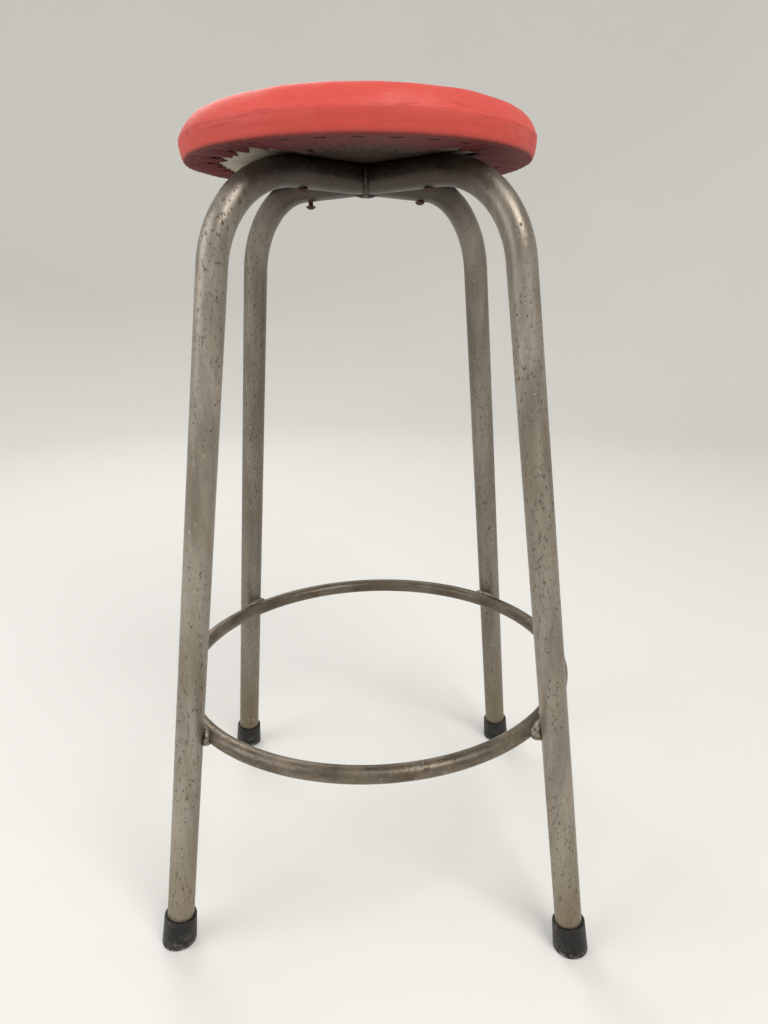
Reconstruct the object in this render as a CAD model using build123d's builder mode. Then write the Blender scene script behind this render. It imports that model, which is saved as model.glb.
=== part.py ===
from build123d import *
import os
from math import cos, radians, sin, sqrt

# A round-seated bar stool with a welded steel frame and a footrest ring.
# Millimetres, +Z up. The origin is on the floor, under the point where the four arms cross. The front is -Y.
# One hoop of tube makes the front-left and rear-right legs. The other two legs are coped and welded to it
# under the seat, where the four arms cross on the diagonals at one height.

# ---- Legs: 1 inch tube -----------------------------------------------------------------------------------
TUBE_R = 12.7
TUBE_WALL = 1.6
ARM_Z = 707.0                # height of the arms' axes
CORNER = 114.5               # where a leg's axis would meet its arm's axis, in X and in Y
BEND_R = 86.0                # radius of the tube's axis at the top bend
HOLE_R = 2.7                 # clearance hole for a seat screw, through both walls of an arm
COPE_GAP = 0.05              # between a coped end and the tube that it sits on

# Where each leg's axis meets the floor, and on which diagonal its arm lies. The legs were set by hand, so the
# feet aren't quite square.
LEGS = {
    "front_left": ((-195.0, -154.0), (-1, -1)),
    "front_right": ((187.0, -177.0), (1, -1)),
    "rear_left": ((-174.5, 179.0), (-1, 1)),
    "rear_right": ((176.0, 178.5), (1, 1)),
}

# ---- Footrest ring: 5/8 inch tube ------------------------------------------------------------------------
RING_R = 201.0               # radius of the ring's axis
RING_X = 1.0                 # the ring's centre, a little off the frame's
RING_Y = -1.0
RING_TUBE_R = 7.9
RING_WALL = 1.2
RING_Z = 221.6
RING_TILT_X = 1.2            # degrees, the ring's right side stands higher
RING_TILT_Y = 0.8            # degrees, and so does its rear
RING_ARC = 359.96            # degrees of bent tube; its two ends meet behind the rear-left leg's weld
RING_JOINT_LEG = "rear_left"

# ---- Welds -----------------------------------------------------------------------------------------------
RING_BEAD_R = 10.5           # across the ring's weld
RING_BEAD_HALF = 6.5         # half of its depth, from the ring towards the leg
HUB_BEAD_R = 2.6
HUB_CROSS_BEAD_R = 2.4       # the second bead, laid across the first
HUB_BEAD_TOP = 48.0          # degrees above level where the bead of the centre joint stops
WELD_GAP = 0.02

# ---- Rubber feet -----------------------------------------------------------------------------------------
FOOT_BASE_R = 16.5
FOOT_TAPER = 2.0             # degrees
FOOT_H = 30.0                # up the leg, from the floor
FOOT_FLOOR = 7.0             # rubber under the washer
FOOT_BELOW = 3.0             # rubber made below the floor and then cut level
FOOT_FIT = 0.05
FOOT_TOP_ROUND = 1.2
FOOT_BASE_ROUND = 1.5
WASHER_R = 12.4
WASHER_HOLE_R = 4.0
WASHER_T = 1.6

# ---- Seat ------------------------------------------------------------------------------------------------
SEAT_X = -6.0                # the seat is screwed on a little to the left of the frame's centre
BOARD_Z = ARM_Z + TUBE_R + 0.1
BOARD_T = 18.0
BOARD_R = 150.0
BOARD_EDGE = 1.5
COVER_T = 1.1                # vinyl
RIM_R = 155.5                # the cover's lower rim
RIM_ROUND = 2.2
SIDE_R = 158.5               # the seat's widest, at SIDE_Z
SIDE_Z = 734.0
SHOULDER_IN = 18.0           # how far the rounded shoulder comes in
SHOULDER_Z = 757.5
CROWN_Z = 762.0              # the top of the seat: 30 inches
FLAP_IN_R = 129.0            # inner edge of the vinyl turned under the board
FLAP_FIT = 0.6               # slack between the cover and what it wraps

# ---- Staples that hold the cover under the board ---------------------------------------------------------
STAPLE_COUNT = 32
STAPLE_RING_R = 145.0
STAPLE_CROWN = 9.0
STAPLE_WIRE = 0.7
STAPLE_LEG = 6.0

# ---- Seat screws -----------------------------------------------------------------------------------------
SCREW_XY = 54.0              # in X and in Y from the frame's centre, one in each arm
SCREW_R = 2.3
SCREW_LENGTH = 38.0
SCREW_POINT = 6.0
SCREW_HEAD_R = 4.8
SCREW_HEAD_T = 3.2
SCREW_SLOT = 1.2
SCREW_SLOT_DEPTH = 1.5
SCREW_FIT = 0.05
BACKED_OUT = {"front_left": 0.6, "front_right": 0.0, "rear_left": 4.0, "rear_right": 0.4}


def foot_point(name):
    """Where a leg's axis meets the floor."""
    (x, y), _ = LEGS[name]
    return Vector(x, y, 0)


def corner_point(name):
    """Where a leg's axis would meet its arm's axis."""
    _, (sx, sy) = LEGS[name]
    return Vector(sx * CORNER, sy * CORNER, ARM_Z)


def leg_plane(name, along=0.0):
    """A plane square to a leg, that far up its axis from the floor."""
    foot = foot_point(name)
    axis = (corner_point(name) - foot).normalized()
    return Plane(origin=foot + axis * along, z_dir=axis)


def tube_end(name):
    """The end of a leg's tube, which stands on the washer in its rubber foot."""
    return leg_plane(name, FOOT_FLOOR + WASHER_T).origin


def arm_plane(name, offset=0.0):
    """A plane at the frame's centre, square to a leg's arm."""
    _, (sx, sy) = LEGS[name]
    direction = Vector(sx, sy, 0).normalized()
    return Plane(origin=Vector(0, 0, ARM_Z) + direction * offset, z_dir=direction)


def screw_points(*names):
    """Plan positions of the screws in those legs' arms."""
    return [(LEGS[name][1][0] * SCREW_XY, LEGS[name][1][1] * SCREW_XY) for name in names]


def drill_arms(*names):
    """Cuts the screw holes of those legs' arms out of the part being built."""
    with BuildSketch(Plane.XY.offset(ARM_Z - 1.2 * TUBE_R)) as holes:
        with Locations(*screw_points(*names)):
            Circle(HOLE_R)
    extrude(holes.sketch, amount=2.4 * TUBE_R, mode=Mode.SUBTRACT)


def sweep_leg_tube(path):
    """Sweeps the legs' hollow tube along a line, into the part being built."""
    with BuildSketch(Plane(origin=path @ 0, z_dir=path % 0)) as section:
        Circle(TUBE_R)
        Circle(TUBE_R - TUBE_WALL, mode=Mode.SUBTRACT)
    sweep(section.sketch, path=path)


# ---- The hoop: front-left leg, both arms and rear-right leg in one tube ------------------------------------
with BuildPart() as leg_hoop:
    with BuildLine() as hoop_line:
        FilletPolyline(
            tube_end("front_left"),
            corner_point("front_left"),
            corner_point("rear_right"),
            tube_end("rear_right"),
            radius=BEND_R,
        )
    sweep_leg_tube(hoop_line.wires()[0])
    drill_arms("front_left", "rear_right")


def half_leg(name):
    """A leg and its arm, with the arm's end coped to sit on the hoop."""
    with BuildPart() as leg:
        with BuildLine() as leg_line:
            FilletPolyline(tube_end(name), corner_point(name), Vector(0, 0, ARM_Z), radius=BEND_R)
        sweep_leg_tube(leg_line.wires()[0])
        with BuildSketch(arm_plane("rear_right", -2 * TUBE_R)):
            Circle(TUBE_R + COPE_GAP)
        extrude(amount=4 * TUBE_R, mode=Mode.SUBTRACT)
        drill_arms(name)
    return leg


leg_front_right = half_leg("front_right")
leg_rear_left = half_leg("rear_left")

# ---- The weld of the centre joint: a bead along both seams, which cross under the arms ---------------------


def seam_bead(side, radius):
    """The bead along the seam that lies in one upright plane through the frame's centre."""
    with BuildPart() as bead:
        with BuildLine(Plane(origin=(0, 0, ARM_Z), x_dir=side.x_dir, z_dir=side.z_dir)) as seam:
            EllipticalCenterArc(
                (0, 0),
                sqrt(2) * TUBE_R,
                TUBE_R,
                start_angle=180 - HUB_BEAD_TOP,
                arc_size=180 + 2 * HUB_BEAD_TOP,
            )
        with BuildSketch(Plane(origin=seam.line @ 0, z_dir=seam.line % 0)):
            Circle(radius)
        sweep(path=seam.line)
        for arm in ("front_right", "rear_right"):
            with BuildSketch(arm_plane(arm, -3 * TUBE_R)):
                Circle(TUBE_R + WELD_GAP)
            extrude(amount=6 * TUBE_R, mode=Mode.SUBTRACT)
    return bead


first_bead = seam_bead(Plane.XZ, HUB_BEAD_R)
second_bead = seam_bead(Plane.YZ, HUB_CROSS_BEAD_R)
with BuildPart() as hub_weld:
    add(first_bead.part)
    add(second_bead.part)

# ---- The footrest ring ------------------------------------------------------------------------------------
ring_rightwards = Vector(cos(radians(RING_TILT_X)), 0, sin(radians(RING_TILT_X)))
ring_backwards = Vector(0, cos(radians(RING_TILT_Y)), sin(radians(RING_TILT_Y)))
ring_plane = Plane(
    origin=(RING_X, RING_Y, RING_Z),
    x_dir=ring_rightwards,
    z_dir=ring_rightwards.cross(ring_backwards).normalized(),
)
ring_axis = Axis(ring_plane.origin, ring_plane.z_dir)


def ring_crossing(name):
    """Where the ring's plane crosses a leg's axis."""
    foot = foot_point(name)
    rise = corner_point(name) - foot
    share = (ring_plane.origin - foot).dot(ring_plane.z_dir) / rise.dot(ring_plane.z_dir)
    return foot + rise * share


def ring_out(name):
    """The direction from the ring's centre to a leg, in the ring's plane."""
    return (ring_crossing(name) - ring_plane.origin).normalized()


with BuildPart() as footrest_ring:
    joint_out = ring_out(RING_JOINT_LEG)
    with BuildSketch(Plane(origin=ring_plane.origin + joint_out * RING_R, x_dir=joint_out,
                           z_dir=joint_out.cross(ring_plane.z_dir))):
        Circle(RING_TUBE_R)
        Circle(RING_TUBE_R - RING_WALL, mode=Mode.SUBTRACT)
    revolve(axis=ring_axis, revolution_arc=RING_ARC)


def ring_weld(name):
    """The bead between the ring and the inner side of a leg."""
    out = ring_out(name)
    leg_gap = (ring_crossing(name) - ring_plane.origin).length - RING_R - RING_TUBE_R - TUBE_R
    centre = ring_plane.origin + out * (RING_R + RING_TUBE_R + leg_gap / 2)
    with BuildPart() as bead:
        with BuildSketch(Plane(origin=centre, x_dir=out, z_dir=out.cross(ring_plane.z_dir))):
            Ellipse(RING_BEAD_HALF, RING_BEAD_R)
            with Locations((0, -RING_BEAD_R)):
                Rectangle(4 * RING_BEAD_HALF, 2 * RING_BEAD_R, mode=Mode.SUBTRACT)
        revolve(axis=Axis(centre, out))
        with BuildSketch(leg_plane(name)):
            Circle(TUBE_R + WELD_GAP)
        extrude(amount=2 * RING_Z, mode=Mode.SUBTRACT)
        with BuildSketch(Plane(origin=ring_plane.origin + ring_plane.x_dir * RING_R,
                               x_dir=ring_plane.x_dir, z_dir=-ring_plane.y_dir)):
            Circle(RING_TUBE_R + WELD_GAP)
        revolve(axis=ring_axis, mode=Mode.SUBTRACT)
    return bead


def rubber_foot(name):
    """A tapered rubber cup pushed over the leg's end, level with the floor underneath."""
    with BuildPart() as foot:
        with BuildSketch(leg_plane(name, -FOOT_BELOW)):
            Circle(FOOT_BASE_R)
        extrude(amount=FOOT_H + FOOT_BELOW, taper=FOOT_TAPER)
        fillet(foot.edges().sort_by(Axis.Z)[-1], FOOT_TOP_ROUND)
        with BuildSketch(leg_plane(name, FOOT_FLOOR)):
            Circle(TUBE_R + FOOT_FIT)
        extrude(amount=FOOT_H, mode=Mode.SUBTRACT)
        split(bisect_by=Plane.XY, keep=Keep.TOP)
        fillet(foot.edges().sort_by(Axis.Z)[0], FOOT_BASE_ROUND)
    return foot


def foot_washer(name):
    """A steel washer in the bottom of the cup, which keeps the tube from cutting the rubber."""
    with BuildPart() as washer:
        with BuildSketch(leg_plane(name, FOOT_FLOOR)):
            Circle(WASHER_R)
            Circle(WASHER_HOLE_R, mode=Mode.SUBTRACT)
        extrude(amount=WASHER_T)
    return washer


def seat_screw(name):
    """A slotted round-head wood screw, up through an arm and into the board."""
    (place,) = screw_points(name)
    seat_z = ARM_Z - TUBE_R - BACKED_OUT[name]
    with BuildPart() as screw:
        with BuildSketch(Plane(origin=(*place, seat_z), x_dir=(1, 0, 0), z_dir=(0, -1, 0))):
            with BuildLine():
                Polyline(
                    (0, -SCREW_HEAD_T),
                    (0, SCREW_LENGTH),
                    (SCREW_R, SCREW_LENGTH - SCREW_POINT),
                    (SCREW_R, 0),
                    (SCREW_HEAD_R, 0),
                )
                EllipticalCenterArc((0, 0), SCREW_HEAD_R, SCREW_HEAD_T, start_angle=270, arc_size=90)
            make_face()
        revolve(axis=Axis((*place, 0), (0, 0, 1)))
        with BuildSketch(Plane.XY.offset(seat_z - SCREW_HEAD_T)):
            with Locations(place):
                Rectangle(3 * SCREW_HEAD_R, SCREW_SLOT)
        extrude(amount=SCREW_SLOT_DEPTH, mode=Mode.SUBTRACT)
    return screw


# ---- Staples: each one lies along the flap's edge, with its crown under the vinyl ---------------------------
staple_z = BOARD_Z - COVER_T - STAPLE_WIRE
with BuildPart() as cover_staples:
    with BuildSketch(Plane.XY.offset(staple_z)):
        with Locations((SEAT_X, 0)):
            with PolarLocations(STAPLE_RING_R, STAPLE_COUNT):
                Rectangle(STAPLE_WIRE, STAPLE_CROWN)
    extrude(amount=STAPLE_WIRE)
    with BuildSketch(Plane.XY.offset(staple_z)):
        with Locations((SEAT_X, 0)):
            with PolarLocations(STAPLE_RING_R, STAPLE_COUNT):
                with Locations((0, (STAPLE_CROWN - STAPLE_WIRE) / 2), (0, (STAPLE_WIRE - STAPLE_CROWN) / 2)):
                    Rectangle(STAPLE_WIRE, STAPLE_WIRE)
    extrude(amount=STAPLE_WIRE + COVER_T + STAPLE_LEG)

# ---- Seat board: plywood, drilled for the screws ----------------------------------------------------------
with BuildPart() as seat_board:
    with BuildSketch(Plane.XY.offset(BOARD_Z)):
        with Locations((SEAT_X, 0)):
            Circle(BOARD_R)
    extrude(amount=BOARD_T)
    chamfer(seat_board.edges(), BOARD_EDGE)
    with BuildSketch(Plane.XY.offset(BOARD_Z)):
        with Locations(*screw_points(*LEGS)):
            Circle(SCREW_R + SCREW_FIT)
    extrude(amount=SCREW_LENGTH - 2 * TUBE_R + 1, mode=Mode.SUBTRACT)
    add(cover_staples.part, mode=Mode.SUBTRACT)

# ---- Seat foam: a pad on the board with a lip down the board's edge ------------------------------------------
seat_axis = Axis((SEAT_X, 0, 0), (0, 0, 1))
seat_section = Plane(origin=(SEAT_X, 0, 0), x_dir=(1, 0, 0), z_dir=(0, -1, 0))


def seat_outline(inset, bottom_z, rim_r):
    """The seat's outer line from its lower rim to the crown, inset by the cover's thickness."""
    side = (SIDE_R - inset, SIDE_Z)
    shoulder = (SIDE_R - SHOULDER_IN, SHOULDER_Z - inset)
    Spline((rim_r, bottom_z), side, tangents=[(0.25, 1), (0, 1)])
    Spline(side, shoulder, tangents=[(0, 1), (-1, 0.12)])
    Spline(shoulder, (0, CROWN_Z - inset), tangents=[(-1, 0.12), (-1, 0)])


with BuildPart() as seat_foam:
    with BuildSketch(seat_section):
        with BuildLine():
            pad_low = BOARD_Z + RIM_ROUND
            pad_rim = RIM_R - COVER_T - FLAP_FIT
            seat_outline(COVER_T + FLAP_FIT, pad_low, pad_rim)
            Polyline(
                (0, CROWN_Z - COVER_T - FLAP_FIT),
                (0, BOARD_Z + BOARD_T),
                (BOARD_R + 0.1, BOARD_Z + BOARD_T),
                (BOARD_R + 0.1, pad_low),
                (pad_rim, pad_low),
            )
        make_face()
    revolve(axis=seat_axis)

# ---- Seat cover: one vinyl skin over the foam, turned under the board ----------------------------------------
with BuildPart() as seat_cover:
    with BuildSketch(seat_section):
        with BuildLine():
            low = BOARD_Z - COVER_T
            seat_outline(0, low + RIM_ROUND, RIM_R)
            Polyline((0, CROWN_Z), (0, CROWN_Z - COVER_T))
            seat_outline(COVER_T, BOARD_Z + RIM_ROUND - COVER_T, RIM_R - COVER_T)
            RadiusArc((RIM_R - RIM_ROUND, low), (RIM_R, low + RIM_ROUND), -RIM_ROUND)
            Polyline(
                (RIM_R - RIM_ROUND, low),
                (FLAP_IN_R, low),
                (FLAP_IN_R, BOARD_Z),
                (RIM_R - RIM_ROUND, BOARD_Z),
            )
            RadiusArc((RIM_R - RIM_ROUND, BOARD_Z), (RIM_R - COVER_T, low + RIM_ROUND), -(RIM_ROUND - COVER_T))
        make_face()
    revolve(axis=seat_axis)
    add(cover_staples.part, mode=Mode.SUBTRACT)

# ---- Every piece, under the name of its node ----------------------------------------------------------------
pieces = {
    "leg_hoop": leg_hoop,
    "leg_front_right": leg_front_right,
    "leg_rear_left": leg_rear_left,
    "hub_weld": hub_weld,
    "footrest_ring": footrest_ring,
    "seat_board": seat_board,
    "seat_foam": seat_foam,
    "seat_cover": seat_cover,
    "cover_staples": cover_staples,
}
for leg_name in LEGS:
    pieces["ring_weld_" + leg_name] = ring_weld(leg_name)
    pieces["rubber_foot_" + leg_name] = rubber_foot(leg_name)
    pieces["foot_washer_" + leg_name] = foot_washer(leg_name)
    pieces["seat_screw_" + leg_name] = seat_screw(leg_name)

os.makedirs("parts", exist_ok=True)
for piece_name, piece in pieces.items():
    piece.part.label = piece_name
    export_step(piece.part, "parts/" + piece_name + ".step")
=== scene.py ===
import math
import random

import bmesh
import bpy
import numpy as np
from mathutils import Matrix, Vector, noise
from mathutils.bvhtree import BVHTree


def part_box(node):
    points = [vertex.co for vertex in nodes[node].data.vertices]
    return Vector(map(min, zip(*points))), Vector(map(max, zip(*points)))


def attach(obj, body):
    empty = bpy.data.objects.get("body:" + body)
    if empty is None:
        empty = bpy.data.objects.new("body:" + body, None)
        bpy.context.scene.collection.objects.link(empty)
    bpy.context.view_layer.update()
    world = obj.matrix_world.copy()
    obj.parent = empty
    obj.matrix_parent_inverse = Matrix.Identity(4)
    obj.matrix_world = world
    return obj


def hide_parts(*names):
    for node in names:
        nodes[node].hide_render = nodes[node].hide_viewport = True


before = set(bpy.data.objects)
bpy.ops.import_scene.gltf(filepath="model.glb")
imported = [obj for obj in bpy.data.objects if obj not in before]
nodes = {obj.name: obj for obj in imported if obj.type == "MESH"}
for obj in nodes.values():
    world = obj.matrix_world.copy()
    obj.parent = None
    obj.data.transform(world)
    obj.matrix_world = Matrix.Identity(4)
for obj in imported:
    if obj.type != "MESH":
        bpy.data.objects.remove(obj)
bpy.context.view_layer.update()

# The looks of a bar stool with a round vinyl seat and a footrest ring. Metres, in the CAD frame: +Z up and
# the front at -Y. The tubes, rubber feet, washers, screws, board and staples keep their CAD meshes. The
# welds, the seat's foam and its vinyl cover are made here.

MM = 0.001
LEG_NAMES = ["front_left", "front_right", "rear_left", "rear_right"]

# ---- Places and sizes, from the frame ------------------------------------------------------------
cover_low, cover_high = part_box("seat_cover")
board_low, board_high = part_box("seat_board")
SEAT_X = (cover_low.x + cover_high.x) / 2
SEAT_Y = (cover_low.y + cover_high.y) / 2
SIDE_R = (cover_high.x - cover_low.x) / 2        # the seat's widest
CROWN_Z = cover_high.z
FLAP_Z = cover_low.z                             # the outer skin of the vinyl under the board
BOARD_R = (board_high.x - board_low.x) / 2
BOARD_TOP = board_high.z
BOARD_BOTTOM = board_low.z

# ---- Welds ---------------------------------------------------------------------------------------
WELD_VOXEL = 0.55 * MM
WELD_LUMP = 0.7 * MM
WELD_RIPPLE = 0.35 * MM
HUB_CALM = 0.4                                   # the centre joint's bead is smoother, and painted over
HUB_STRETCH = (1.0, 1.0, 1.0)
RING_WELD_STRETCH = (1.25, 1.35, 0.88)           # towards the leg, along the ring and upwards

# ---- The seat's outline --------------------------------------------------------------------------
VINYL_T = BOARD_BOTTOM - FLAP_Z
SIDE_Z = FLAP_Z + 15.3 * MM
RIM_R = SIDE_R - 3 * MM
RIM_ROUND = 2.2 * MM
SHOULDER_R = SIDE_R - 18 * MM                    # where the flat crown turns into the rounded shoulder
SHOULDER_DROP = 5.6 * MM
SHOULDER_SLOPE = 0.12
BREAK_Z = SIDE_Z + 2.5 * MM                      # where the shoulder meets the upright side, at a soft edge
BREAK_TURN = math.radians(55)                    # how far the shoulder has turned down by then
FLAP_R = RIM_R - RIM_ROUND

# ---- The foam pad and its simulation -------------------------------------------------------------
PAD_COLUMNS = 120
PAD_INSET = 4.6 * MM
PAD_BOTTOM = BOARD_BOTTOM + 0.6 * MM
PAD_VOXEL = 5 * MM
HELD_BELOW = BOARD_BOTTOM + 5 * MM               # the pad's skin is held still under this height
SWELL_PRESSURE = 4
SWELL_FRAMES = 20
SWELL_CAP = 1.0 * MM
BOARD_ROOM = 0.15 * MM                           # slack left round the board
BOARD_ROOM_ABOVE = 0.1 * MM
BOARD_CUT_PAST = 4 * MM                          # how much taller the cutter is than the board

# ---- The cover's mesh ----------------------------------------------------------------------------
COLUMNS = 600
CROWN_RINGS = 15
SHOULDER_RINGS = 20
SIDE_RINGS = 13
RIM_RINGS = 5
FLAP_RINGS = 15

# ---- How the stuffing and wear shape the cover ---------------------------------------------------
RELIEF_REACH = 15 * MM                           # from how far outside the pad's surface is looked for
RELIEF_STEP = 4                                  # every so many columns
RELIEF_LIMITS = (-2 * MM, 4 * MM)
RELIEF_SOFTENINGS = 14
STUFFED = -0.9 * MM                              # how far the stuffing leaves the cover from its outline
FULLER = 0.8 * MM                                # and how much further out at the side
BROAD_UNEVEN = 1.0 * MM
SMALL_UNEVEN = 0.35 * MM
CREASE_DEPTH = 0.22 * MM
PUCKER_DEPTH = 0.22 * MM
PUCKER_REACH = 7 * MM                            # how far up the side the puckers run
CRUSH_DEPTH = 3.2 * MM                           # how far the left edge is crushed down
CRUSH_WIDTH = 0.75                               # and to how many radians on each side
CRUSHED_R = (90 * MM, 150 * MM)                  # where the crushing starts, and where it's full

# ---- The turned-under flap -----------------------------------------------------------------------
PLEATS = 46                                      # snipped teeth round the edge, with two folds in each
PLEAT_WIDTHS = (0.65, 1.35)                      # narrowest and widest, as shares of the mean
PLEAT_TIP_R = (115 * MM, 124 * MM)               # how far in the snipped teeth reach, least and most
NOTCH_R = (128 * MM, 138 * MM)                   # how far in the notches between them reach
PEAK_AT = (0.30, 0.72)                           # where along a pleat its tooth has its tip
DEEPER_FROM = math.radians(226)                  # between these directions the teeth reach further in
DEEPER_TO = math.radians(362)
DEEPER = 34 * MM
DEEPER_FADE_IN = math.radians(14)
DEEPER_FADE_OUT = math.radians(16)
ARM_CLEAR = (math.radians(9), math.radians(14))  # but not within this turn of an arm
PLEAT_DEPTH = (0.8 * MM, 2.3 * MM)
FOLD_CREST = 0.72                                # where along a fold it stands highest
FLAP_CURL = 0.3 * MM
FLAP_SPACE = 0.02 * MM
STAPLES = 32
STAPLE_RING_R = 145 * MM
PRESSED_IN = 4 * MM                              # how far a staple presses the folds flat, inwards
PRESSED_ASIDE = 5.5 * MM                         # and sideways


def smooth(low, high, value):
    """0 below low, 1 above high and a smooth step between them."""
    t = np.clip((value - low) / (high - low), 0, 1)
    return t * t * (3 - 2 * t)


def srgb(red, green, blue):
    """A colour given on the 0 to 255 scale of a screen, as linear values."""
    def linear(value):
        value /= 255
        return value / 12.92 if value <= 0.04045 else ((value + 0.055) / 1.055) ** 2.4
    return (linear(red), linear(green), linear(blue), 1)


def new_object(name, mesh):
    """Puts a mesh into the scene as an object."""
    made = bpy.data.objects.new(name, mesh)
    bpy.context.scene.collection.objects.link(made)
    return made


def mesh_from(name, points, faces):
    """A smooth-shaded mesh with its normals turned outwards."""
    mesh = bpy.data.meshes.new(name)
    mesh.from_pydata([tuple(p) for p in points], [], faces)
    mesh.validate()
    shape = bmesh.new()
    shape.from_mesh(mesh)
    bmesh.ops.recalc_face_normals(shape, faces=shape.faces)
    shape.to_mesh(mesh)
    shape.free()
    shade_smooth(mesh)
    return mesh


def shade_smooth(mesh):
    """Shades every face of a mesh smooth."""
    mesh.polygons.foreach_set("use_smooth", [True] * len(mesh.polygons))


def points_of(mesh):
    """A mesh's points as an array."""
    points = np.zeros(len(mesh.vertices) * 3)
    mesh.vertices.foreach_get("co", points)
    return points.reshape(-1, 3)


def normals_of(mesh):
    """The outward directions at a mesh's points."""
    normals = np.zeros(len(mesh.vertices) * 3)
    mesh.vertices.foreach_get("normal", normals)
    return normals.reshape(-1, 3)


def set_points(mesh, points):
    """Moves a mesh's points to new places."""
    mesh.vertices.foreach_set("co", np.asarray(points, float).ravel())
    mesh.update()


def applied(thing):
    """Replaces an object's mesh by what its modifiers make of it."""
    depsgraph = bpy.context.evaluated_depsgraph_get()
    made = bpy.data.meshes.new_from_object(thing.evaluated_get(depsgraph))
    thing.modifiers.clear()
    thing.data = made
    return made


def noise_at(points, scale, seed=0.0):
    """Smooth noise from about -1 to 1 at each point; scale is in cycles per metre."""
    scaled = np.asarray(points) * scale + seed
    return np.array([noise.noise(Vector(p)) for p in scaled])


# ---- Materials -----------------------------------------------------------------------------------
class Material:
    """A procedural material: short ways to add nodes round one Principled shader."""

    def __init__(self, name, **constants):
        self.data = bpy.data.materials.new(name)
        self.data.use_nodes = True
        self.tree = self.data.node_tree
        self.tree.nodes.clear()
        self.shader = self.add("ShaderNodeBsdfPrincipled")
        output = self.add("ShaderNodeOutputMaterial")
        self.tree.links.new(self.shader.outputs["BSDF"], output.inputs["Surface"])
        self.place = self.add("ShaderNodeTexCoord").outputs["Object"]
        for socket, value in constants.items():
            self.shader.inputs[socket.replace("_", " ")].default_value = value

    def add(self, kind, **settings):
        """A new node of a kind, with its settings."""
        node = self.tree.nodes.new(kind)
        for setting, value in settings.items():
            setattr(node, setting, value)
        return node

    def put(self, socket, value):
        """Joins an output to a socket, or sets the socket to a number or colour."""
        if isinstance(value, bpy.types.NodeSocket):
            self.tree.links.new(value, socket)
        else:
            socket.default_value = value

    def set(self, socket, value):
        """Joins or sets one of the shader's sockets."""
        self.put(self.shader.inputs[socket], value)

    def stretched(self, x=1.0, y=1.0, z=1.0):
        """The place, scaled along each axis, so that a texture is drawn out along the small ones."""
        node = self.add("ShaderNodeVectorMath", operation="MULTIPLY")
        self.put(node.inputs[0], self.place)
        self.put(node.inputs[1], (x, y, z))
        return node.outputs[0]

    def noise(self, scale, detail=3.0, roughness=0.5, place=None, distortion=0.0):
        """Layered noise, from 0 to 1."""
        node = self.add("ShaderNodeTexNoise")
        self.put(node.inputs["Vector"], place or self.place)
        self.put(node.inputs["Scale"], scale)
        self.put(node.inputs["Detail"], detail)
        self.put(node.inputs["Roughness"], roughness)
        self.put(node.inputs["Distortion"], distortion)
        return node.outputs["Fac"]

    def cells(self, scale, place=None):
        """The distance from the nearest of many scattered points."""
        node = self.add("ShaderNodeTexVoronoi")
        self.put(node.inputs["Vector"], place or self.place)
        self.put(node.inputs["Scale"], scale)
        return node.outputs["Distance"]

    def step(self, value, low, high, to_low=0.0, to_high=1.0):
        """A smooth step of a value, from low to high, onto another range."""
        node = self.add("ShaderNodeMapRange", interpolation_type="SMOOTHSTEP")
        self.put(node.inputs["Value"], value)
        self.put(node.inputs["From Min"], low)
        self.put(node.inputs["From Max"], high)
        self.put(node.inputs["To Min"], to_low)
        self.put(node.inputs["To Max"], to_high)
        return node.outputs["Result"]

    def math(self, operation, first, second):
        """One arithmetic operation on two values."""
        node = self.add("ShaderNodeMath", operation=operation)
        self.put(node.inputs[0], first)
        self.put(node.inputs[1], second)
        return node.outputs[0]

    def times(self, first, second):
        """The product of two values."""
        return self.math("MULTIPLY", first, second)

    def mix(self, share, first, second):
        """Colour first where share is 0 and second where it is 1."""
        node = self.add("ShaderNodeMix", data_type="RGBA")
        self.put(node.inputs["Factor"], share)
        self.put(node.inputs[6], first)
        self.put(node.inputs[7], second)
        return node.outputs[2]

    def tinted(self, colour, where, strength, tint):
        """A colour, drawn towards a tint where a value is high, by strength at most."""
        return self.mix(self.times(where, strength), colour, tint)

    def coordinates(self):
        """The place's X, Y and Z as separate values."""
        node = self.add("ShaderNodeSeparateXYZ")
        self.put(node.inputs[0], self.place)
        return node.outputs

    def from_middle(self):
        """The distance from the upright axis through the frame's centre."""
        node = self.add("ShaderNodeVectorMath", operation="LENGTH")
        self.put(node.inputs[0], self.stretched(z=0.0))
        return node.outputs["Value"]

    def bump(self, height, distance, strength=1.0, under=None):
        """A bumped normal, on top of another one where that is given."""
        node = self.add("ShaderNodeBump")
        self.put(node.inputs["Height"], height)
        self.put(node.inputs["Distance"], distance)
        self.put(node.inputs["Strength"], strength)
        if under is not None:
            self.put(node.inputs["Normal"], under)
        return node.outputs["Normal"]


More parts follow.
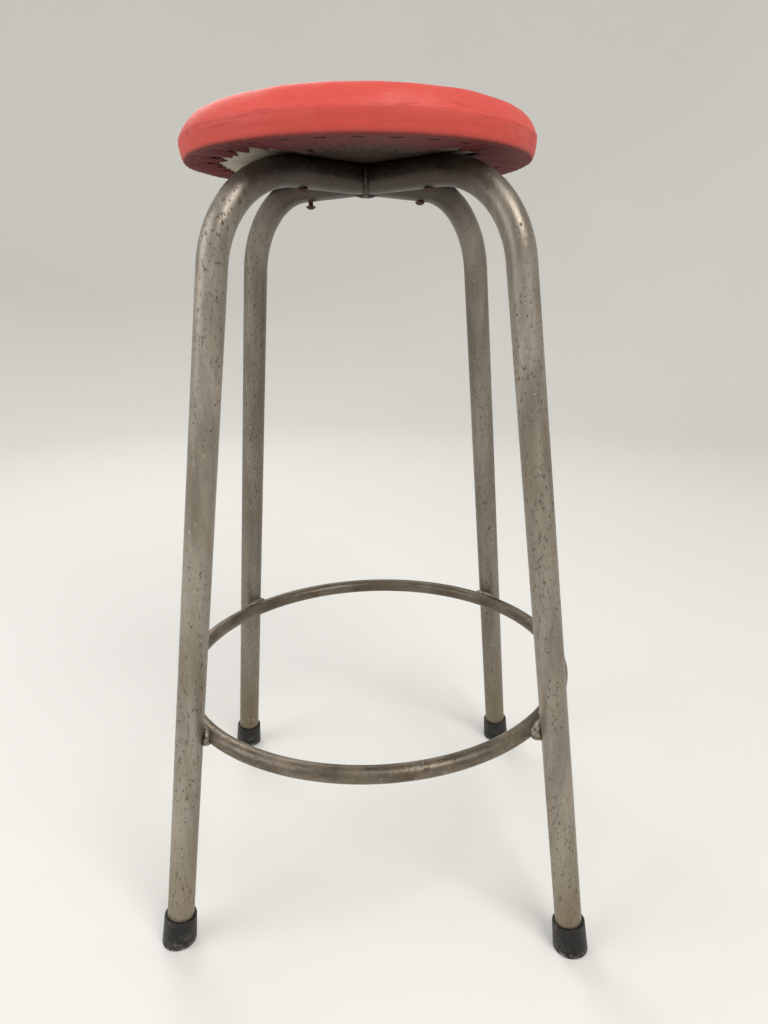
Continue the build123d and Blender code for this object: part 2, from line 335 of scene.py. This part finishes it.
def vinyl():
    """Satin coral vinyl: fine grain, rubbed paler patches, creases along the side, a side painted a little
    darker as shade, and painted shade with dust underneath.
    """
    m = Material("vinyl_coral", Specular_IOR_Level=0.36, Coat_Weight=0.05, Coat_Roughness=0.4)
    height = m.coordinates()["Z"]
    colour = m.mix(m.noise(14, 3, 0.6), srgb(204, 66, 57), srgb(216, 84, 73))
    rubbed = m.step(m.noise(38, 5, 0.65, m.stretched(z=2.2)), 0.52, 0.78)
    colour = m.tinted(colour, rubbed, 0.35, srgb(226, 118, 104))
    # The upright side is painted a little darker than the shoulder, as shade under the light from above.
    side_shade = m.step(height, BREAK_Z + 1.5 * MM, BREAK_Z - 1.5 * MM)
    colour = m.tinted(colour, side_shade, 0.30, srgb(172, 66, 58))
    side = m.times(m.step(height, FLAP_Z, SIDE_Z), m.step(height, CROWN_Z - 8 * MM, SIDE_Z + 4 * MM))
    lines = m.noise(150, 6, 0.7, m.stretched(0.16, 0.16, 3.4), 0.6)
    crease = m.times(m.times(m.step(lines, 0.56, 0.64), m.step(lines, 0.74, 0.66)), side)
    # The creases are painted darker, as shade in them.
    colour = m.tinted(colour, crease, 0.30, srgb(150, 38, 34))
    scratches = m.noise(260, 4, 0.6, m.stretched(0.12, 0.12, 2.4), 1.2)
    scratch = m.times(m.step(scratches, 0.66, 0.70), side)
    colour = m.tinted(colour, scratch, 0.45, srgb(244, 150, 136))
    # Painted shade under the board, dusty in patches, and painted shade darkest towards the middle, where
    # the arms shade it.
    underside_shade = m.step(height, BOARD_BOTTOM + 2.5 * MM, BOARD_BOTTOM - 1.5 * MM)
    colour = m.tinted(colour, underside_shade, 0.95, srgb(76, 23, 25))
    dusty = m.times(underside_shade, m.step(m.noise(48, 4, 0.6), 0.42, 0.66))
    colour = m.tinted(colour, dusty, 0.20, srgb(104, 66, 60))
    flap_middle_shade = m.times(underside_shade, m.step(m.from_middle(), 0.140, 0.085))
    colour = m.tinted(colour, flap_middle_shade, 0.90, srgb(38, 27, 22))
    m.set("Base Color", colour)
    rough = m.step(m.noise(60, 4, 0.6), 0.3, 0.75, 0.50, 0.64)
    m.set("Roughness", m.math("MAXIMUM", rough, m.times(underside_shade, 0.92)))
    grain = m.bump(m.cells(1500), 0.05 * MM, 0.35)
    wrinkled = m.bump(m.noise(210, 5, 0.62, m.stretched(0.3, 0.3, 1.6)), 0.22 * MM, 0.55, grain)
    m.set("Normal", m.bump(m.math("SUBTRACT", scratch, crease), 0.16 * MM, 0.8, wrinkled))
    return m.data


def worn_paint(name, light, dark, across, along, wear):
    """Old dull silver paint on steel, streaked, pitted and chipped; across and along scale its streaks."""
    m = Material(name, Specular_IOR_Level=0.5)
    place = m.coordinates()
    drawn = m.stretched(across, across, along)
    colour = m.mix(m.step(m.noise(45, 5, 0.62, drawn), 0.32, 0.68), dark, light)
    olive = m.step(m.noise(17, 3, 0.5), 0.42, 0.70)
    colour = m.tinted(colour, olive, 0.22, srgb(128, 118, 96))
    # Painted shade at the back, yellowed near the floor, and painted shade where the arms meet under the
    # seat.
    rear_shade = m.step(place["Y"], 0.03, 0.13)
    colour = m.tinted(colour, rear_shade, 0.38, srgb(82, 74, 64))
    near_floor = m.step(place["Z"], 0.16, 0.03)
    colour = m.tinted(colour, near_floor, 0.45, srgb(120, 106, 72))
    under_seat_shade = m.times(m.step(place["Z"], 0.62, 0.70), m.step(m.from_middle(), 0.19, 0.10))
    colour = m.tinted(colour, under_seat_shade, 0.88, srgb(50, 40, 36))
    # Pits in broad zones, each with a faint halo, and larger specks.
    zones = m.step(m.noise(16, 3, 0.6, m.stretched(z=0.35)), 0.34, 0.58)
    pit_noise = m.noise(400, 5, 0.66, m.stretched(z=0.5), 0.5)
    pits = m.times(m.step(pit_noise, 0.57, 0.63), zones)
    specks = m.step(m.cells(240, m.stretched(z=0.6)), 0.25, 0.12)
    specks = m.times(specks, m.step(m.noise(70, 2), 0.48, 0.60))
    marks = m.math("MAXIMUM", pits, specks)
    colour = m.tinted(colour, marks, 0.80, srgb(62, 48, 36))
    halo = m.times(m.step(pit_noise, 0.50, 0.60), zones)
    colour = m.tinted(colour, halo, 0.15, srgb(108, 84, 64))
    scratch = m.step(m.noise(700, 2, 0.5, m.stretched(z=0.12), 0.3), 0.67, 0.72)
    colour = m.tinted(colour, scratch, 0.22, srgb(206, 200, 186))
    chips = m.times(m.step(m.noise(360, 4, 0.6, m.stretched(z=0.5), 0.8), 0.66, 0.71), wear)
    chips = m.times(chips, m.math("SUBTRACT", 1.0, under_seat_shade))
    colour = m.mix(chips, colour, srgb(206, 196, 176))
    m.set("Base Color", colour)
    m.set("Metallic", m.step(marks, 0.1, 0.6, 0.76, 0.10))
    rough = m.step(m.noise(90, 4, 0.6, drawn), 0.3, 0.72, 0.33, 0.51)
    m.set("Roughness", m.math("MAXIMUM", rough, m.times(marks, 0.85)))
    fine = m.bump(m.noise(900, 3, 0.6), 0.05 * MM, 0.5)
    dents = m.bump(m.noise(60, 4, 0.6, drawn), 0.35 * MM, 0.45, fine)
    m.set("Normal", m.bump(m.math("SUBTRACT", chips, marks), 0.22 * MM, 0.9, dents))
    return m.data


def weld_metal(name, low, high, rusted):
    """Rough weld metal under the same old paint, browned in places."""
    m = Material(name, Metallic=0.45)
    lumps = m.noise(320, 5, 0.65)
    colour = m.mix(m.step(lumps, 0.36, 0.62), low, high)
    rust = m.step(m.noise(180, 4, 0.6), 0.52, 0.66)
    m.set("Base Color", m.tinted(colour, rust, rusted, srgb(84, 58, 38)))
    m.set("Roughness", m.step(lumps, 0.3, 0.7, 0.62, 0.36))
    m.set("Normal", m.bump(lumps, 0.4 * MM, 0.8))
    return m.data


def black_rubber():
    """Black rubber, dusty and scuffed pale, most of all round its bottom edge."""
    m = Material("rubber_black", Specular_IOR_Level=0.35)
    dust = m.step(m.noise(55, 5, 0.65), 0.45, 0.75)
    colour = m.mix(m.times(dust, 0.5), srgb(22, 20, 19), srgb(54, 49, 45))
    edge = m.step(m.coordinates()["Z"], 7 * MM, 0.5 * MM)
    scuff = m.step(m.noise(240, 4, 0.7, m.stretched(z=1.4), 0.6), 0.48, 0.60)
    scuff = m.times(scuff, m.math("MAXIMUM", edge, m.times(dust, 0.45)))
    m.set("Base Color", m.mix(scuff, colour, srgb(146, 142, 140)))
    m.set("Roughness", m.step(dust, 0.0, 1.0, 0.48, 0.72))
    m.set("Normal", m.bump(m.noise(300, 5, 0.65), 0.25 * MM, 0.6))
    return m.data


def rusty_steel():
    """Screws gone dark brown with rust."""
    m = Material("screw_rust", Metallic=0.35)
    flakes = m.noise(650, 5, 0.7)
    m.set("Base Color", m.mix(m.step(flakes, 0.36, 0.66), srgb(44, 32, 26), srgb(96, 62, 42)))
    m.set("Roughness", m.step(flakes, 0.3, 0.7, 0.55, 0.85))
    m.set("Normal", m.bump(flakes, 0.25 * MM, 0.8))
    return m.data


def tarnished(name, base):
    """Plated steel that has gone brown in patches; base is its colour elsewhere."""
    m = Material(name, Metallic=0.8)
    tarnish = m.noise(240, 4, 0.6)
    m.set("Base Color", m.mix(m.step(tarnish, 0.35, 0.7), base, srgb(72, 56, 48)))
    m.set("Roughness", m.step(tarnish, 0.3, 0.7, 0.34, 0.6))
    m.set("Normal", m.bump(tarnish, 0.06 * MM, 0.5))
    return m.data


def raw_board():
    """Pale raw plywood: long fibres on its faces, plies along its edge, and painted shade towards its
    middle, where the arms shade it.
    """
    m = Material("board_plywood", Specular_IOR_Level=0.08)
    fibres = m.noise(60, 6, 0.65, m.stretched(0.8, 12, 12), 0.4)
    colour = m.mix(m.step(fibres, 0.3, 0.7), srgb(142, 135, 121), srgb(174, 167, 152))
    stains = m.step(m.noise(22, 4, 0.6), 0.5, 0.72)
    colour = m.tinted(colour, stains, 0.4, srgb(150, 132, 106))
    plies = m.add("ShaderNodeTexWave", wave_type="BANDS", bands_direction="Z")
    m.put(plies.inputs["Vector"], m.place)
    m.put(plies.inputs["Scale"], 140)
    m.put(plies.inputs["Distortion"], 0.6)
    height = m.coordinates()["Z"]
    edge = m.times(m.step(height, BOARD_BOTTOM, BOARD_BOTTOM + 1.5 * MM),
                   m.step(height, BOARD_TOP, BOARD_TOP - 1.5 * MM))
    colour = m.tinted(colour, m.times(plies.outputs["Fac"], edge), 0.5, srgb(140, 112, 78))
    board_middle_shade = m.step(m.from_middle(), 0.126, 0.092)
    colour = m.tinted(colour, board_middle_shade, 0.96, srgb(44, 32, 26))
    m.set("Base Color", colour)
    m.set("Roughness", m.step(fibres, 0.3, 0.7, 0.72, 0.9))
    m.set("Normal", m.bump(fibres, 0.15 * MM, 0.5))
    return m.data


def yellowed_foam():
    """Open-celled foam, yellowed with age."""
    m = Material("foam_cells", Specular_IOR_Level=0.2)
    pores = m.cells(900)
    colour = m.mix(m.step(m.noise(25, 4, 0.6), 0.35, 0.7), srgb(224, 204, 150), srgb(206, 176, 116))
    # The pores are painted darker, as shade in them.
    m.set("Base Color", m.mix(m.step(pores, 0.30, 0.12), colour, srgb(150, 120, 72)))
    m.set("Roughness", 0.95)
    m.set("Normal", m.bump(pores, 0.5 * MM, 0.8))
    return m.data


def pale_floor():
    """The studio's pale floor, which curves up into its backdrop."""
    m = Material("studio_pale", Specular_IOR_Level=0.2)
    m.set("Base Color", m.mix(m.noise(1.6, 3, 0.5), srgb(230, 229, 226), srgb(235, 234, 231)))
    m.set("Roughness", m.step(m.noise(30, 3, 0.5), 0.3, 0.7, 0.72, 0.84))
    return m.data


# ---- Finishes of the CAD nodes that keep their meshes --------------------------------------------
def give(node, material):
    """Gives a CAD node one material."""
    thing = nodes[node]
    thing.data.materials.clear()
    thing.data.materials.append(material)


leg_paint = worn_paint("leg_paint", srgb(168, 160, 149), srgb(134, 126, 115), 1.0, 0.18, 0.75)
ring_paint = worn_paint("ring_paint", srgb(136, 126, 112), srgb(84, 75, 64), 0.5, 1.0, 0.9)
weld_look = weld_metal("weld_bead", srgb(98, 88, 75), srgb(156, 146, 130), 0.4)
# The centre bead is coloured dark as painted shade, matching the painted shade on the arms under the seat.
hub_shade_look = weld_metal("hub_bead", srgb(46, 38, 33), srgb(78, 68, 60), 0.3)
rubber_look = black_rubber()
rust_look = rusty_steel()
washer_look = tarnished("washer_zinc", srgb(168, 164, 156))
staple_look = tarnished("staple_rust", srgb(84, 56, 50))
for leg_node in ("leg_hoop", "leg_front_right", "leg_rear_left"):
    give(leg_node, leg_paint)
give("footrest_ring", ring_paint)
give("seat_board", raw_board())
give("cover_staples", staple_look)
for leg_name in LEG_NAMES:
    give("rubber_foot_" + leg_name, rubber_look)
    give("foot_washer_" + leg_name, washer_look)
    give("seat_screw_" + leg_name, rust_look)


# ---- Welds: the CAD beads with the lumps and ripples of hand welding -----------------------------
def weld_piece(node, seed, look, lumpiness, stretch):
    """A lumpy copy of a CAD weld, which stands for it; stretch is outwards, sideways and upwards."""
    piece = new_object(node + "_bead", nodes[node].data.copy())
    piece.data.materials.clear()
    remesh = piece.modifiers.new("even", "REMESH")
    remesh.mode = "VOXEL"
    remesh.voxel_size = WELD_VOXEL
    mesh = applied(piece)
    points = points_of(mesh)
    lumps = noise_at(points, 190, seed) * WELD_LUMP + noise_at(points, 620, seed + 5) * WELD_RIPPLE
    points = points + normals_of(mesh) * lumps[:, None] * lumpiness
    middle = points.mean(axis=0)
    turn = math.atan2(middle[1], middle[0])
    axes = np.array([[math.cos(turn), math.sin(turn), 0], [-math.sin(turn), math.cos(turn), 0], [0, 0, 1]])
    set_points(mesh, middle + (points - middle) @ axes.T * np.array(stretch) @ axes)
    shade_smooth(mesh)
    mesh.materials.append(look)
    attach(piece, "root")
    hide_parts(node)


weld_piece("hub_weld", 1, hub_shade_look, HUB_CALM, HUB_STRETCH)
for count, leg_name in enumerate(LEG_NAMES, start=1):
    weld_piece("ring_weld_" + leg_name, 3.7 * count + 1, weld_look, 1.0, RING_WELD_STRETCH)


# ---- The seat's outline, ring by ring ------------------------------------------------------------
def outline():
    """The cover's outer line from the crown's centre to the flap, as radius and height."""
    crown_r = SHOULDER_R * np.linspace(0, 1, CROWN_RINGS + 1)[1:] ** 0.8
    power = SHOULDER_SLOPE * SHOULDER_R / SHOULDER_DROP
    crown_z = CROWN_Z - SHOULDER_DROP * (crown_r / SHOULDER_R) ** power
    side_low = FLAP_Z + RIM_ROUND
    side_z = np.linspace(BREAK_Z, side_low, SIDE_RINGS + 1)
    side_r = SIDE_R - (SIDE_R - RIM_R) * ((SIDE_Z - side_z) / (SIDE_Z - side_low)) ** 2
    # The shoulder is an arc, squeezed to fit, that starts at the crown's own slope: lean settles on it.
    lean = 0.0
    for _ in range(30):
        across = (side_r[0] - SHOULDER_R) / (math.sin(BREAK_TURN) - math.sin(lean))
        rise = (CROWN_Z - SHOULDER_DROP - BREAK_Z) / (math.cos(lean) - math.cos(BREAK_TURN))
        lean = math.atan(SHOULDER_SLOPE * across / rise)
    turn = np.linspace(lean, BREAK_TURN, SHOULDER_RINGS + 1)[1:]
    shoulder_r = SHOULDER_R + across * (np.sin(turn) - math.sin(lean))
    shoulder_z = BREAK_Z + rise * (np.cos(turn) - math.cos(BREAK_TURN))
    roll = np.linspace(0, math.pi / 2, RIM_RINGS + 1)[1:]
    rim_r = FLAP_R + RIM_ROUND * np.cos(roll)
    rim_z = side_low - RIM_ROUND * np.sin(roll)
    radius = np.concatenate([crown_r, shoulder_r, side_r[1:], rim_r])
    height = np.concatenate([crown_z, shoulder_z, side_z[1:], rim_z])
    return radius, height


line_r, line_z = outline()
slope_r = np.gradient(line_r)
slope_z = np.gradient(line_z)
slope_length = np.hypot(slope_r, slope_z)
out_r = -slope_z / slope_length                  # the outline's outward direction
out_z = slope_r / slope_length
angles = np.linspace(0, 2 * math.pi, COLUMNS, endpoint=False)
AROUND = np.stack([np.cos(angles), np.sin(angles)], axis=1)


def turned(radius, height):
    """Points of a shape turned about the seat's axis; radius and height are arrays of rings by columns."""
    x = SEAT_X + radius * AROUND[:, 0]
    y = SEAT_Y + radius * AROUND[:, 1]
    return np.stack([x, y, np.broadcast_to(height, x.shape)], axis=-1)


def grid_faces(rings, columns):
    """Quads between rings of points that close on themselves."""
    faces = []
    for ring in range(rings - 1):
        a, b = ring * columns, (ring + 1) * columns
        for column in range(columns):
            beside = (column + 1) % columns
            faces.append((a + column, b + column, b + beside, a + beside))
    return faces


# ---- The foam pad, swollen under the cover by cloth simulation -----------------------------------
def pad_blank():
    """A closed blank for the pad: the seat's outline, drawn in, with a flat underside."""
    keep = line_z > FLAP_Z + RIM_ROUND * 0.5
    radius = line_r[keep] - PAD_INSET * out_r[keep]
    height = np.maximum(line_z[keep] - PAD_INSET * out_z[keep], PAD_BOTTOM)
    every = COLUMNS // PAD_COLUMNS
    points = turned(radius[:, None], height[:, None])[:, ::every].reshape(-1, 3)
    faces = grid_faces(len(radius), PAD_COLUMNS)
    top, bottom = len(points), len(points) + 1
    points = np.vstack([points, [SEAT_X, SEAT_Y, CROWN_Z - PAD_INSET], [SEAT_X, SEAT_Y, PAD_BOTTOM]])
    last = (len(radius) - 1) * PAD_COLUMNS
    for column in range(PAD_COLUMNS):
        beside = (column + 1) % PAD_COLUMNS
        faces.append((top, column, beside))
        faces.append((bottom, last + beside, last + column))
    return new_object("seat_foam_pad", mesh_from("seat_foam_pad", points, faces))


def swell(pad):
    """Swells the pad's skin by cloth simulation, held along its lower edge, and caps how far it moves."""
    remesh = pad.modifiers.new("even", "REMESH")
    remesh.mode = "VOXEL"
    remesh.voxel_size = PAD_VOXEL
    start = points_of(applied(pad))
    held = pad.vertex_groups.new(name="held")
    held.add([i for i, p in enumerate(start) if p[2] < HELD_BELOW], 1.0, "REPLACE")
    cloth = pad.modifiers.new("swell", "CLOTH")
    cloth.settings.vertex_group_mass = "held"
    cloth.settings.use_pressure = True
    cloth.settings.uniform_pressure_force = SWELL_PRESSURE
    cloth.settings.effector_weights.gravity = 0
    for step in range(1, SWELL_FRAMES + 1):
        bpy.context.scene.frame_set(step)
    mesh = applied(pad)
    moved = points_of(mesh) - start
    length = np.linalg.norm(moved, axis=1, keepdims=True)
    moved *= SWELL_CAP / np.maximum(length, 1e-9) * np.tanh(length / SWELL_CAP)
    set_points(mesh, start + moved)
    bpy.context.scene.frame_set(1)
    pad.vertex_groups.clear()
    soften = pad.modifiers.new("soften", "SMOOTH")
    soften.factor = 0.5
    soften.iterations = 4
    refine = pad.modifiers.new("refine", "SUBSURF")
    refine.levels = refine.render_levels = 1
    applied(pad)


def hollow_for_board(pad):
    """Takes the board's place, with a little slack, out of the underside of the pad."""
    shape = bmesh.new()
    depth = BOARD_TOP - BOARD_BOTTOM + BOARD_CUT_PAST
    middle = Matrix.Translation((SEAT_X, SEAT_Y, BOARD_TOP - depth / 2 + BOARD_ROOM_ABOVE))
    bmesh.ops.create_cone(shape, cap_ends=True, segments=180, radius1=BOARD_R + BOARD_ROOM,
                          radius2=BOARD_R + BOARD_ROOM, depth=depth, matrix=middle)
    cutter_mesh = bpy.data.meshes.new("board_room")
    shape.to_mesh(cutter_mesh)
    shape.free()
    cutter = new_object("board_room", cutter_mesh)
    cut = pad.modifiers.new("board_room", "BOOLEAN")
    cut.operation = "DIFFERENCE"
    cut.solver = "EXACT"
    cut.object = cutter
    applied(pad)
    bpy.data.objects.remove(cutter)
    shade_smooth(pad.data)


# ---- The vinyl cover -----------------------------------------------------------------------------
def cover_relief(pad):
    """How far the swollen pad pushes the cover out from its outline, at each ring and column."""
    tree = BVHTree.FromObject(pad, bpy.context.evaluated_depsgraph_get())
    relief = np.zeros((len(line_r), COLUMNS))
    for ring in range(len(line_r)):
        for column in range(0, COLUMNS, RELIEF_STEP):
            x, y = AROUND[column]
            outwards = Vector((out_r[ring] * x, out_r[ring] * y, out_z[ring]))
            point = Vector((SEAT_X + line_r[ring] * x, SEAT_Y + line_r[ring] * y, line_z[ring]))
            hit = tree.ray_cast(point + outwards * RELIEF_REACH, -outwards, 2 * RELIEF_REACH)
            if hit[0] is not None:
                relief[ring, column:column + RELIEF_STEP] = RELIEF_REACH - hit[3] + PAD_INSET
    above_rim = smooth(FLAP_Z + 2 * MM, FLAP_Z + 8 * MM, line_z)[:, None]
    relief = np.clip(relief, *RELIEF_LIMITS) * above_rim
    for _ in range(RELIEF_SOFTENINGS):
        relief = (np.roll(relief, 3, axis=1) + relief + np.roll(relief, -3, axis=1)) / 3
        padded = np.pad(relief, ((1, 1), (0, 0)), mode="edge")
        relief = (padded[:-2] + 2 * relief + padded[2:]) / 4
    uneven_part = relief - relief.mean(axis=1, keepdims=True)
    return STUFFED * above_rim + uneven_part * smooth(8 * MM, 50 * MM, line_r)[:, None]


def pleat_pattern():
    """For each column, its pleat's number and its place in it from 0 to 1, with pleats of uneven width."""
    chance = random.Random(11)
    widths = np.array([chance.uniform(*PLEAT_WIDTHS) for _ in range(PLEATS)])
    edges = np.concatenate([[0], np.cumsum(widths)]) / widths.sum() * 2 * math.pi
    number = np.clip(np.searchsorted(edges, angles, side="right") - 1, 0, PLEATS - 1)
    share = (angles - edges[number]) / (edges[number + 1] - edges[number])
    return number, share


def flap_rings(number, share):
    """Radius and height of the turned-under flap, with its overlapping pleats and snipped zigzag edge."""
    chance = random.Random(23)
    tips = np.array([chance.uniform(*PLEAT_TIP_R) for _ in range(PLEATS)])
    notches = np.array([chance.uniform(*NOTCH_R) for _ in range(PLEATS)])
    depths = np.array([chance.uniform(*PLEAT_DEPTH) for _ in range(PLEATS)])
    peaks = np.array([chance.uniform(*PEAK_AT) for _ in range(PLEATS)])
    after = (number + 1) % PLEATS
    notch = notches[number] * (1 - share) + notches[after] * share
    peak = peaks[number]
    tooth = np.where(share < peak, share / peak, (1 - share) / (1 - peak))
    from_arm = math.pi / 4 - np.abs((angles - math.pi / 4) % (math.pi / 2) - math.pi / 4)
    deeper = DEEPER * smooth(DEEPER_FROM, DEEPER_FROM + DEEPER_FADE_IN, angles)
    deeper = deeper * smooth(*ARM_CLEAR, from_arm)
    deeper = deeper * (1 - smooth(DEEPER_TO - DEEPER_FADE_OUT, DEEPER_TO, angles))
    inner_r = notch + (tips[number] - notch) * tooth ** 0.85 - deeper
    along_fold = share * 2 % 1
    rising = (along_fold / FOLD_CREST) ** 1.4
    falling = (1 - along_fold) / (1 - FOLD_CREST)
    fold = np.where(along_fold < FOLD_CREST, rising, falling)
    t = np.linspace(0, 1, FLAP_RINGS + 1)[1:, None]
    radius = FLAP_R + (inner_r - FLAP_R) * t
    from_staple = (angles * STAPLES / (2 * math.pi) + 0.5) % 1 - 0.5
    aside = from_staple * 2 * math.pi / STAPLES * radius
    pressed = np.exp(-((radius - STAPLE_RING_R) / PRESSED_IN) ** 2 - (aside / PRESSED_ASIDE) ** 2)
    lift = depths[number] * fold * np.minimum(t / 0.35, 1) ** 0.8 * (1 - 0.97 * pressed)
    places = turned(radius, np.full_like(radius, FLAP_Z))
    curl = noise_at(places.reshape(-1, 3), 60, 4).reshape(radius.shape) * FLAP_CURL * t * (1 - pressed)
    return radius, FLAP_Z - lift - np.maximum(curl, 0) - FLAP_SPACE


def cover_push(pad, share):
    """How far the cover stands out from its outline: the pad's relief, wear, creases and puckers."""
    places = turned(line_r[:, None] + np.zeros(COLUMNS), line_z[:, None]).reshape(-1, 3)
    shape = (len(line_r), COLUMNS)
    uneven = noise_at(places, 16, 2).reshape(shape) * BROAD_UNEVEN
    uneven = uneven + noise_at(places, 45, 8).reshape(shape) * SMALL_UNEVEN
    side = smooth(FLAP_Z + 1 * MM, FLAP_Z + 6 * MM, line_z)
    side = side * (1 - smooth(SIDE_Z + 6 * MM, CROWN_Z - 6 * MM, line_z))
    creases = noise_at(places * (26, 26, 330), 1, 5).reshape(shape) * CREASE_DEPTH * side[:, None]
    tight = np.exp(-((line_z - FLAP_Z) / PUCKER_REACH) ** 2) * (line_r > SHOULDER_R)
    puckers = (np.cos(4 * math.pi * share) - 1) * PUCKER_DEPTH * tight[:, None]
    return cover_relief(pad) + uneven + creases + puckers + FULLER * side[:, None]


def vinyl_cover(pad):
    """The seat's cover, pushed out by the pad, with a crushed left edge and a pleated, turned-under flap."""
    number, share = pleat_pattern()
    push = cover_push(pad, share)
    radius = line_r[:, None] + push * out_r[:, None]
    height = line_z[:, None] + push * out_z[:, None]
    left = np.exp(-(((angles - math.pi) / CRUSH_WIDTH) ** 2))
    outer = smooth(*CRUSHED_R, line_r) * smooth(FLAP_Z + 5 * MM, SIDE_Z + 14 * MM, line_z)
    height = height - CRUSH_DEPTH * left * outer[:, None]
    flap_r, flap_z = flap_rings(number, share)
    points = turned(np.vstack([radius, flap_r]), np.vstack([height, flap_z])).reshape(-1, 3)
    faces = grid_faces(len(line_r) + FLAP_RINGS, COLUMNS)
    centre = len(points)
    points = np.vstack([points, [SEAT_X, SEAT_Y, height[0].mean() + 0.02 * MM]])
    faces += [(centre, column, (column + 1) % COLUMNS) for column in range(COLUMNS)]
    skin = new_object("seat_cover_vinyl", mesh_from("seat_cover_vinyl", points, faces))
    thick = skin.modifiers.new("thickness", "SOLIDIFY")
    thick.thickness = VINYL_T
    thick.offset = -1
    shade_smooth(applied(skin))
    return skin


foam = pad_blank()
swell(foam)
cover = vinyl_cover(foam)
cover.data.materials.append(vinyl())
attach(cover, "root")
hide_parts("seat_cover")

hollow_for_board(foam)
foam.data.materials.clear()
foam.data.materials.append(yellowed_foam())
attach(foam, "root")
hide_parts("seat_foam")

# ---- Studio --------------------------------------------------------------------------------------
FLOOR_INNER_R = (0.3, 1.2)                       # the rings of the flat floor, inside its edge
FLOOR_R = 2.6
SWEEP_R = 1.4                                    # how the floor curves up into the backdrop
SWEEP_RINGS = 25
WALL_TOP = 3.2
STUDIO_COLUMNS = 128
LOOKED_AT = (0, 0, 0.4)


def studio():
    """A round pale floor that curves up into a backdrop on every side."""
    turn = np.linspace(0, math.pi / 2, SWEEP_RINGS)
    radius = np.concatenate([FLOOR_INNER_R, FLOOR_R + SWEEP_R * np.sin(turn), [FLOOR_R + SWEEP_R]])
    height = np.concatenate([[0, 0], SWEEP_R * (1 - np.cos(turn)), [WALL_TOP]])
    spin = np.linspace(0, 2 * math.pi, STUDIO_COLUMNS, endpoint=False)
    points = [(r * math.cos(a), r * math.sin(a), z) for r, z in zip(radius, height) for a in spin]
    faces = grid_faces(len(radius), STUDIO_COLUMNS) + [tuple(range(STUDIO_COLUMNS))]
    floor = new_object("studio_floor", mesh_from("studio_floor", points, faces))
    floor.data.materials.append(pale_floor())


def soft_light(name, place, size, power, colour):
    """A square area light that looks at the stool."""
    data = bpy.data.lights.new(name, "AREA")
    data.size = size
    data.energy = power
    data.color = colour
    light = new_object(name, data)
    light.location = place
    light.rotation_euler = (Vector(LOOKED_AT) - Vector(place)).to_track_quat("-Z", "Y").to_euler()


studio()
soft_light("key", (0.9, -1.5, 2.5), 1.3, 40, (1.0, 0.98, 0.95))
soft_light("fill_left", (-2.0, -0.8, 1.6), 1.6, 18, (0.97, 0.99, 1.0))
soft_light("back", (-0.8, 2.1, 2.3), 1.5, 25, (1.0, 0.99, 0.97))
world = bpy.data.worlds.new("studio_air")
world.use_nodes = True
world.node_tree.nodes["Background"].inputs["Color"].default_value = srgb(234, 233, 229)
world.node_tree.nodes["Background"].inputs["Strength"].default_value = 0.62
bpy.context.scene.world = world
bpy.context.scene.view_settings.view_transform = "Standard"

# ---- Camera: a phone's lens, a little above the middle of the stool, looking down at its front ---
SENSOR = 36.0
LENS = 26.21
CAMERA_PLACE = Vector((-6.2, -741.4, 616.0)) * MM
CAMERA_YAW = math.radians(1.59)
CAMERA_PITCH = math.radians(16.98)               # downwards
CAMERA_ROLL = math.radians(-0.46)

camera_data = bpy.data.cameras.new("camera")
camera_data.sensor_width = SENSOR
camera_data.lens = LENS
camera_data.clip_start = 0.02
camera_data.clip_end = 50
camera = new_object("camera", camera_data)
camera.matrix_world = (
    Matrix.Translation(CAMERA_PLACE)
    @ Matrix.Rotation(-CAMERA_YAW, 4, "Z")
    @ Matrix.Rotation(math.pi / 2 - CAMERA_PITCH, 4, "X")
    @ Matrix.Rotation(CAMERA_ROLL, 4, "Z")
)
bpy.context.scene.camera = camera
